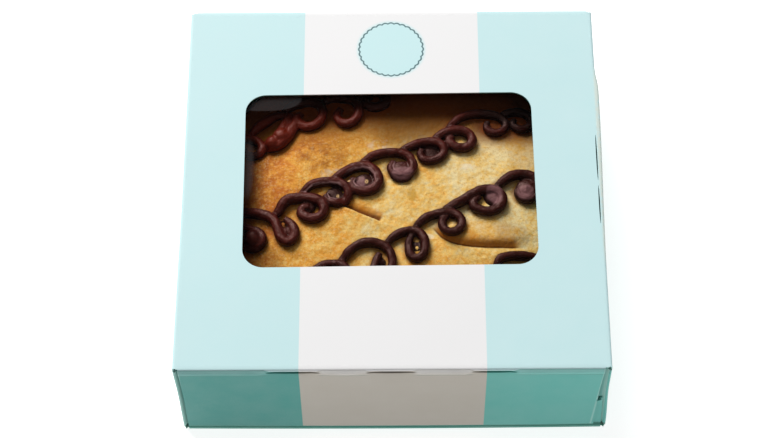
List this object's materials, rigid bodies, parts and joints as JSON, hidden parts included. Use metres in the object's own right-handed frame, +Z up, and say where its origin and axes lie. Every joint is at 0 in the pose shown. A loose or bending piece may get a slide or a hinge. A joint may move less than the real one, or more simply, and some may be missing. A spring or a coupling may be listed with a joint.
{
  "type": "boxed mini chocolate eclair pie",
  "caption": "Square windowed carton holding a small round pie in a foil tin, its crust piped with rows of looped chocolate icing.",
  "frame": {"origin": "middle of the carton's base", "axes": "+Z up through the window, -Y towards the front panel, +X to the right"},
  "size_m": [0.114, 0.114, 0.035],
  "materials": {
    "carton_board": "printed, satin, pale aqua with a white band",
    "clear_film": "clear, glossy",
    "foil": "pressed foil, satin",
    "baked_crust": "baked pastry, golden, speckled",
    "chocolate_icing": "dark chocolate, soft gloss"
  },
  "bodies": {
    "root": {"carton": "carton_board", "window_film": "clear_film", "foil_tin": "foil", "pie": "baked_crust", "icing_row_1": "chocolate_icing", "icing_row_2": "chocolate_icing", "icing_row_3": "chocolate_icing", "icing_row_4": "chocolate_icing"}
  },
  "joints": []
}
